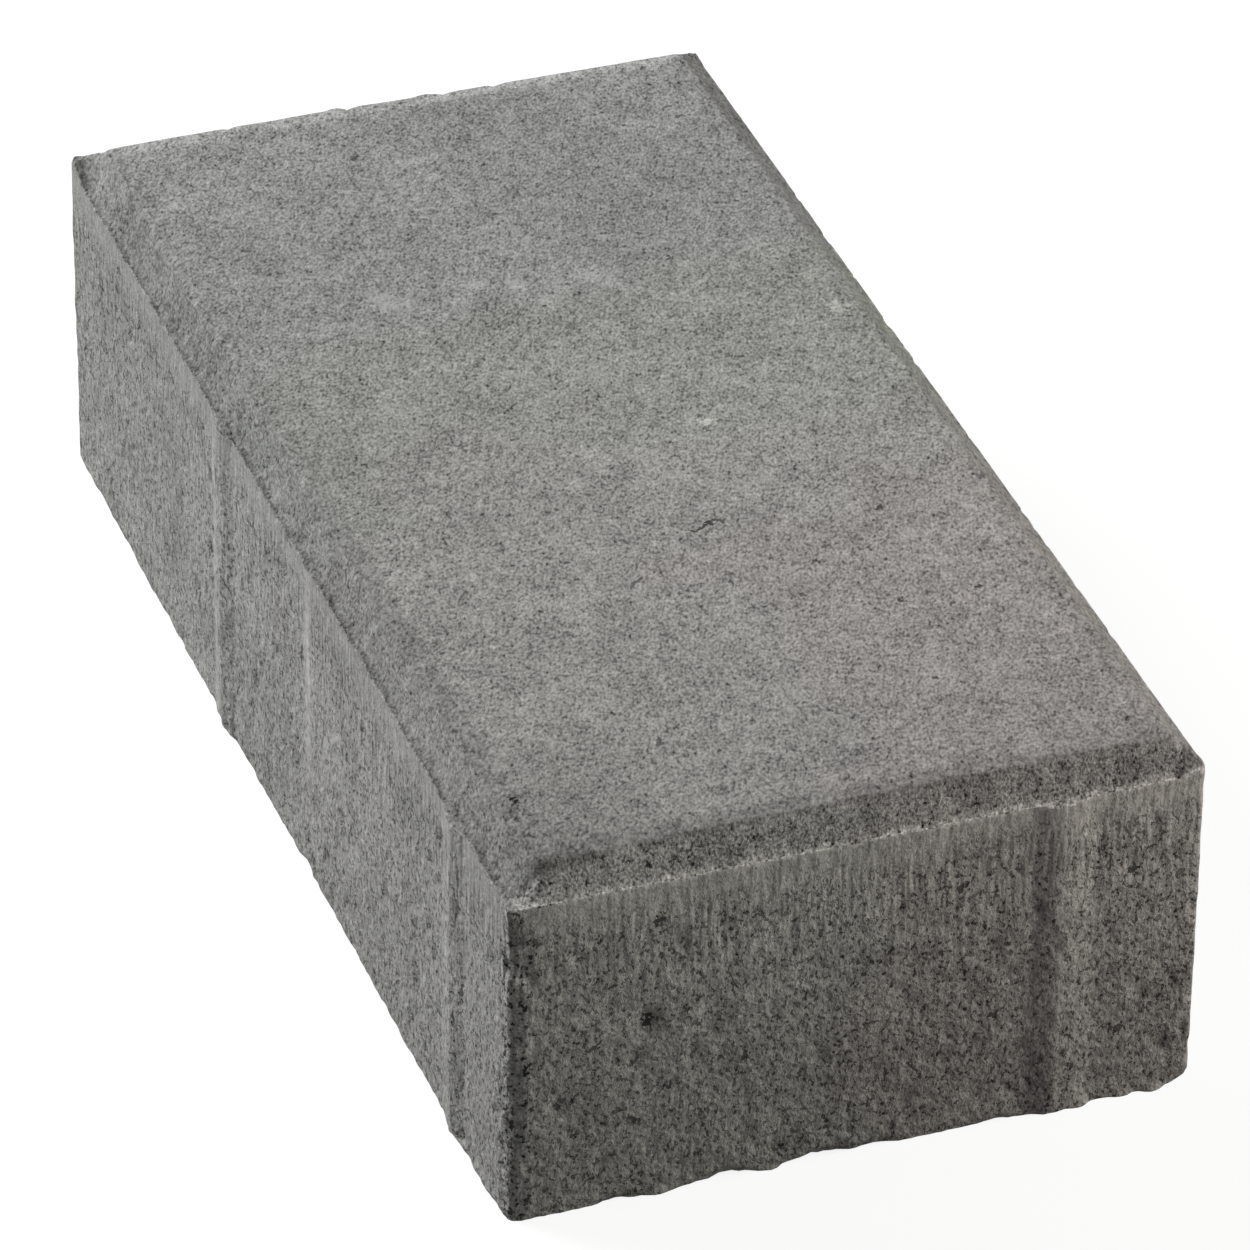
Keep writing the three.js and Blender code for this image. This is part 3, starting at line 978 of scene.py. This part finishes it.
SMOOTH_GRAIN = 0.45  # shares that are left of the grain and of the holes where the walls are smooth
SMOOTH_HOLES = 0.35
ROUGH_STREAKS = 0.5  # and of the streaks where the walls are rough
STREAK_TONE = 1.8
# Paler where the walls are smooth: partly the smooth skin's own tone, partly painted highlight on the lit
# rib slopes and groove.
SMOOTH_PALENESS_AND_HIGHLIGHT = 0.28

MARK_RIM = (0.6, 0.95)  # where a mark ends, its own rim being at 1
MARK_GRAIN = 0.45  # share of the grain that is left on marks
MARK_RELIEF = 0.4  # millimetres for a tone of 1
# Scales the marks' tones, which on dark marks is painted shade in the pit or crack.
MARK_CONTRAST = 1.5

BASE_TONE = 1.04
CAP_TONE = 0.93
# Painted shade in the pits, darker as they are deeper.
PIT_SHADE = 0.75
PIT_SHADE_DEPTHS = (0.1, 0.7)  # range of pit depths over which this painted shade sets in
# Painted highlight on the burr along the walls' upper edge.
FIN_HIGHLIGHT = 1.15
FIN_HIGHLIGHT_RISE = (0.2, 1)
ROUGHNESS = 0.9
COARSE_ROUGHNESS = 0.2  # what the coarse grain adds
SPECULAR = 0.35


def concrete():
    material = bpy.data.materials.new("concrete")
    graph = Graph(material)
    metres = graph.add("ShaderNodeTexCoord").outputs["Object"]
    spot = graph.scaled(metres, (1 / MM, 1 / MM, 1 / MM))
    place = graph.add("ShaderNodeSeparateXYZ", {0: spot}).outputs
    wall, smooth = graph.attribute("wall"), graph.attribute("smooth")
    sheer = graph.math("GREATER_THAN", wall, 0.5)

    def by_part(values):
        """The first value on the cap and the second on the walls."""
        return graph.blend(wall, *values)

    # 1 on the marks and 0 off them, with ragged rims. The cracks are crooked as well.
    mark_tone = graph.attribute("mark_tone")
    bend = graph.product(graph.noise(spot, *CRACK_BENDS), graph.attribute("mark_bend"))
    across = graph.total(graph.attribute("mark_across"), bend)
    from_mark = graph.length(graph.attribute("mark_along"), across)
    ragged = graph.total(from_mark, graph.noise(spot, *MARK_RAGGEDNESS))
    marked = graph.ramp(ragged, *MARK_RIM, 1, 0)

    # Grain: a coarse and a fine one, and holes and pale specks where a third noise is low and high.
    turned = {"Vector": spot, "Rotation": (0, 0, math.radians(GRAIN_TURN)), "Scale": GRAIN_STRETCH}
    cap_spot = graph.add("ShaderNodeMapping", turned, vector_type="TEXTURE").outputs[0]
    grain_spot = graph.blend_vectors(sheer, cap_spot, graph.scaled(spot, WALL_GRAIN_SCALE))
    coarse = graph.noise(grain_spot, *COARSE_GRAIN)
    fine = graph.noise(grain_spot, *FINE_GRAIN)
    speck = graph.noise(grain_spot, *SPECKS)
    hole = graph.product(graph.ramp(speck, *HOLE_LEVELS, 1, 0), graph.blend(smooth, 1.0, SMOOTH_HOLES))
    grain_level = graph.product(graph.attribute("grain"), graph.blend(marked, 1.0, MARK_GRAIN))

    # Relief, in millimetres.
    round_lumps = graph.noise(spot, *ROUND_LUMPS)
    long_lumps = graph.noise(graph.scaled(spot, LONG_LUMP_SCALE), *LONG_LUMPS)
    lumps = graph.blend(graph.ramp(place["Z"], *DRAG_RISE), round_lumps, long_lumps)
    streaks = graph.noise(graph.scaled(spot, DRAG_SCALE), *STREAKS)
    grain = graph.total(
        graph.product(coarse, by_part(COARSE_RELIEF)),
        graph.product(lumps, wall),
        graph.product(fine, by_part(FINE_RELIEF)),
    )
    height = graph.total(
        graph.product(grain, grain_level, graph.blend(smooth, 1.0, SMOOTH_GRAIN)),
        graph.product(streaks, by_part((0.0, graph.blend(smooth, ROUGH_STREAKS, 1.0)))),
        graph.product(hole, by_part(HOLE_RELIEF)),
        graph.product(marked, mark_tone, MARK_RELIEF),
    )
    relief = graph.add("ShaderNodeBump", {"Height": height, "Distance": MM, "Strength": 1.0})

    # Tint: from far to near, with edges that wander.
    x = graph.total(place["X"], graph.noise(spot, *TINT_WANDER_X))
    y = graph.total(place["Y"], graph.noise(spot, *TINT_WANDER_Y))
    far = graph.blend_colors(graph.attribute("side"), FAR_GREY, FAR_SIDE_GREY)
    olive = graph.product(graph.ramp(y, *OLIVE_RANGE), graph.math("SUBTRACT", 1.0, wall))
    middle = graph.blend_colors(olive, far, OLIVE_GREY)
    near = graph.blend_colors(graph.ramp(y, *NEAR_RANGE), middle, NEAR_GREY)
    rose = graph.product(graph.ramp(x, *ROSE_RANGE_ACROSS), graph.ramp(y, *ROSE_RANGE))
    color = graph.blend_colors(rose, near, ROSE_GREY)
    front = graph.product(wall, graph.ramp(place["Y"], *FRONT_RANGE))
    color = graph.scaled(color, graph.blend_vectors(front, TINT, FRONT_TINT))

    # Tone.
    grain_tone = graph.total(
        graph.product(coarse, by_part(COARSE_TONE)),
        graph.product(fine, by_part(FINE_TONE)),
        graph.product(hole, by_part(HOLE_TONE)),
        graph.ramp(speck, *PALE_SPECK_LEVELS, 0, PALE_SPECK_TONE),
    )
    own_tone = graph.total(
        BASE_TONE,
        graph.noise(spot, *BROAD_TONES),
        graph.noise(spot, *NARROW_TONES),
        graph.product(grain_tone, grain_level),
        graph.product(streaks, smooth, STREAK_TONE),
        graph.product(smooth, SMOOTH_PALENESS_AND_HIGHLIGHT),
    )
    # The tone holds painted light and shade: the shade attribute's along the lips, at the near left corner
    # and on the front rib, painted shade in pits and on dark marks, and a painted highlight on the burr.
    tone = graph.product(
        own_tone,
        graph.attribute("shade"),
        by_part((CAP_TONE, 1.0)),
        graph.ramp(graph.attribute("hollow"), *PIT_SHADE_DEPTHS, 1, PIT_SHADE),
        graph.total(1.0, graph.product(marked, mark_tone, MARK_CONTRAST)),
        graph.ramp(graph.attribute("fin"), *FIN_HIGHLIGHT_RISE, 1, FIN_HIGHLIGHT),
    )
    color = graph.add("ShaderNodeVectorMath", {0: color, "Scale": tone}, operation="SCALE").outputs[0]

    shader = graph.add(
        "ShaderNodeBsdfPrincipled",
        {
            "Base Color": color,
            "Roughness": graph.total(ROUGHNESS, graph.product(coarse, COARSE_ROUGHNESS)),
            "Specular IOR Level": SPECULAR,
            "Normal": relief.outputs[0],
        },
    )
    graph.finish(shader.outputs[0])
    return material


FLOOR_GREY = (0.22, 0.22, 0.22, 1)
FLOOR_LIFT = 0.86  # the light that the floor gives off towards the camera


def floor_material():
    """Pale and plain. The camera sees it lifted to white, and the stone's shadow stays on it."""
    material = bpy.data.materials.new("floor")
    graph = Graph(material)
    path = graph.add("ShaderNodeLightPath").outputs
    rays = ("Is Camera Ray", "Is Glossy Ray", "Is Transmission Ray")
    seen = graph.combined("MAXIMUM", [path[ray] for ray in rays])
    matt = graph.add("ShaderNodeBsdfDiffuse", {"Color": FLOOR_GREY})
    lift = graph.add("ShaderNodeEmission", {"Strength": graph.product(seen, FLOOR_LIFT)})
    both = graph.add("ShaderNodeAddShader", {0: matt.outputs[0], 1: lift.outputs[0]})
    graph.finish(both.outputs[0])
    return material


# ---- Stage, light and camera ----

FLOOR_SIZE = 8.0  # metres
AMBIENT = 0.12  # strength of the white surroundings, which the camera sees at full strength

# Lights: azimuth and elevation in degrees from the stone, distance and size in metres, the level at which
# a white surface that faces the light would show, 1 being full white, and the tint.
LIGHTS = {
    "key": (-39, 28, 1.3, 0.9, 1.25, (1, 1, 1.02)),  # behind, to the left
    "side": (114, 24, 0.8, 0.5, 0.72, (1, 0.975, 0.915)),  # to the right, a little in front
}


def add_floor():
    bpy.ops.mesh.primitive_plane_add(size=FLOOR_SIZE)
    floor = bpy.context.object
    floor.name = "floor"
    floor.data.materials.append(floor_material())


def add_world():
    world = bpy.data.worlds.new("studio")
    bpy.context.scene.world = world
    graph = Graph(world)
    seen = graph.add("ShaderNodeLightPath").outputs["Is Camera Ray"]
    white = {"Color": (1, 1, 1, 1), "Strength": graph.blend(seen, AMBIENT, 1.0)}
    graph.finish(graph.add("ShaderNodeBackground", white).outputs[0], "ShaderNodeOutputWorld")


def add_lights():
    middle = Vector((0, 0, TOP * MM / 2))
    for name, (azimuth, elevation, distance, size, level, tint) in LIGHTS.items():
        around, above = math.radians(azimuth), math.radians(elevation)
        flat = math.cos(above)
        towards = Vector((math.sin(around) * flat, math.cos(around) * flat, math.sin(above)))
        data = bpy.data.lights.new(name, "AREA")
        data.shape = "DISK"
        data.size = size
        data.color = tint
        data.energy = level * math.pi**2 * distance**2
        light = bpy.data.objects.new(name, data)
        light.location = middle + towards * distance
        light.rotation_euler = towards.to_track_quat("Z", "Y").to_euler()
        bpy.context.scene.collection.objects.link(light)


PICTURE_SIDE = 1250  # pixels
FOCAL_PIXELS = 8498
VIEW_AZIMUTH = math.radians(20.11)  # round to the left from the front
VIEW_ELEVATION = math.radians(33.94)
VIEW_ROLL = math.radians(0.72)
VIEW_DISTANCE = 1287.9 * MM
AIM_POINT = Vector((0.55, -0.45, 31.5)) * MM  # near the stone's middle
AIM_PIXEL = (609.0, 586.4)  # where that point shows
CLIP_START = 0.05  # metres


def add_camera():
    flat = math.cos(VIEW_ELEVATION)
    back = Vector(
        (-math.sin(VIEW_AZIMUTH) * flat, -math.cos(VIEW_AZIMUTH) * flat, math.sin(VIEW_ELEVATION))
    )
    level = Vector((0, 0, 1)).cross(back).normalized()
    right = Matrix.Rotation(VIEW_ROLL, 3, back) @ level
    up = back.cross(right)
    pixel = VIEW_DISTANCE / FOCAL_PIXELS
    beside = (PICTURE_SIDE / 2 - AIM_PIXEL[0]) * pixel
    above = (AIM_PIXEL[1] - PICTURE_SIDE / 2) * pixel
    data = bpy.data.cameras.new("camera")
    data.lens = FOCAL_PIXELS / PICTURE_SIDE * data.sensor_width
    data.clip_start = CLIP_START
    camera = bpy.data.objects.new("camera", data)
    rotation = Matrix((right, up, back)).transposed().to_4x4()
    location = AIM_POINT + back * VIEW_DISTANCE + right * beside + up * above
    camera.matrix_world = Matrix.Translation(location) @ rotation
    bpy.context.scene.collection.objects.link(camera)
    bpy.context.scene.camera = camera


stone = cast_stone()
stone.data.materials.append(concrete())
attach(stone, "root")
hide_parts("paving_stone")

add_floor()
add_world()
add_lights()
add_camera()
bpy.context.scene.view_settings.view_transform = "Standard"
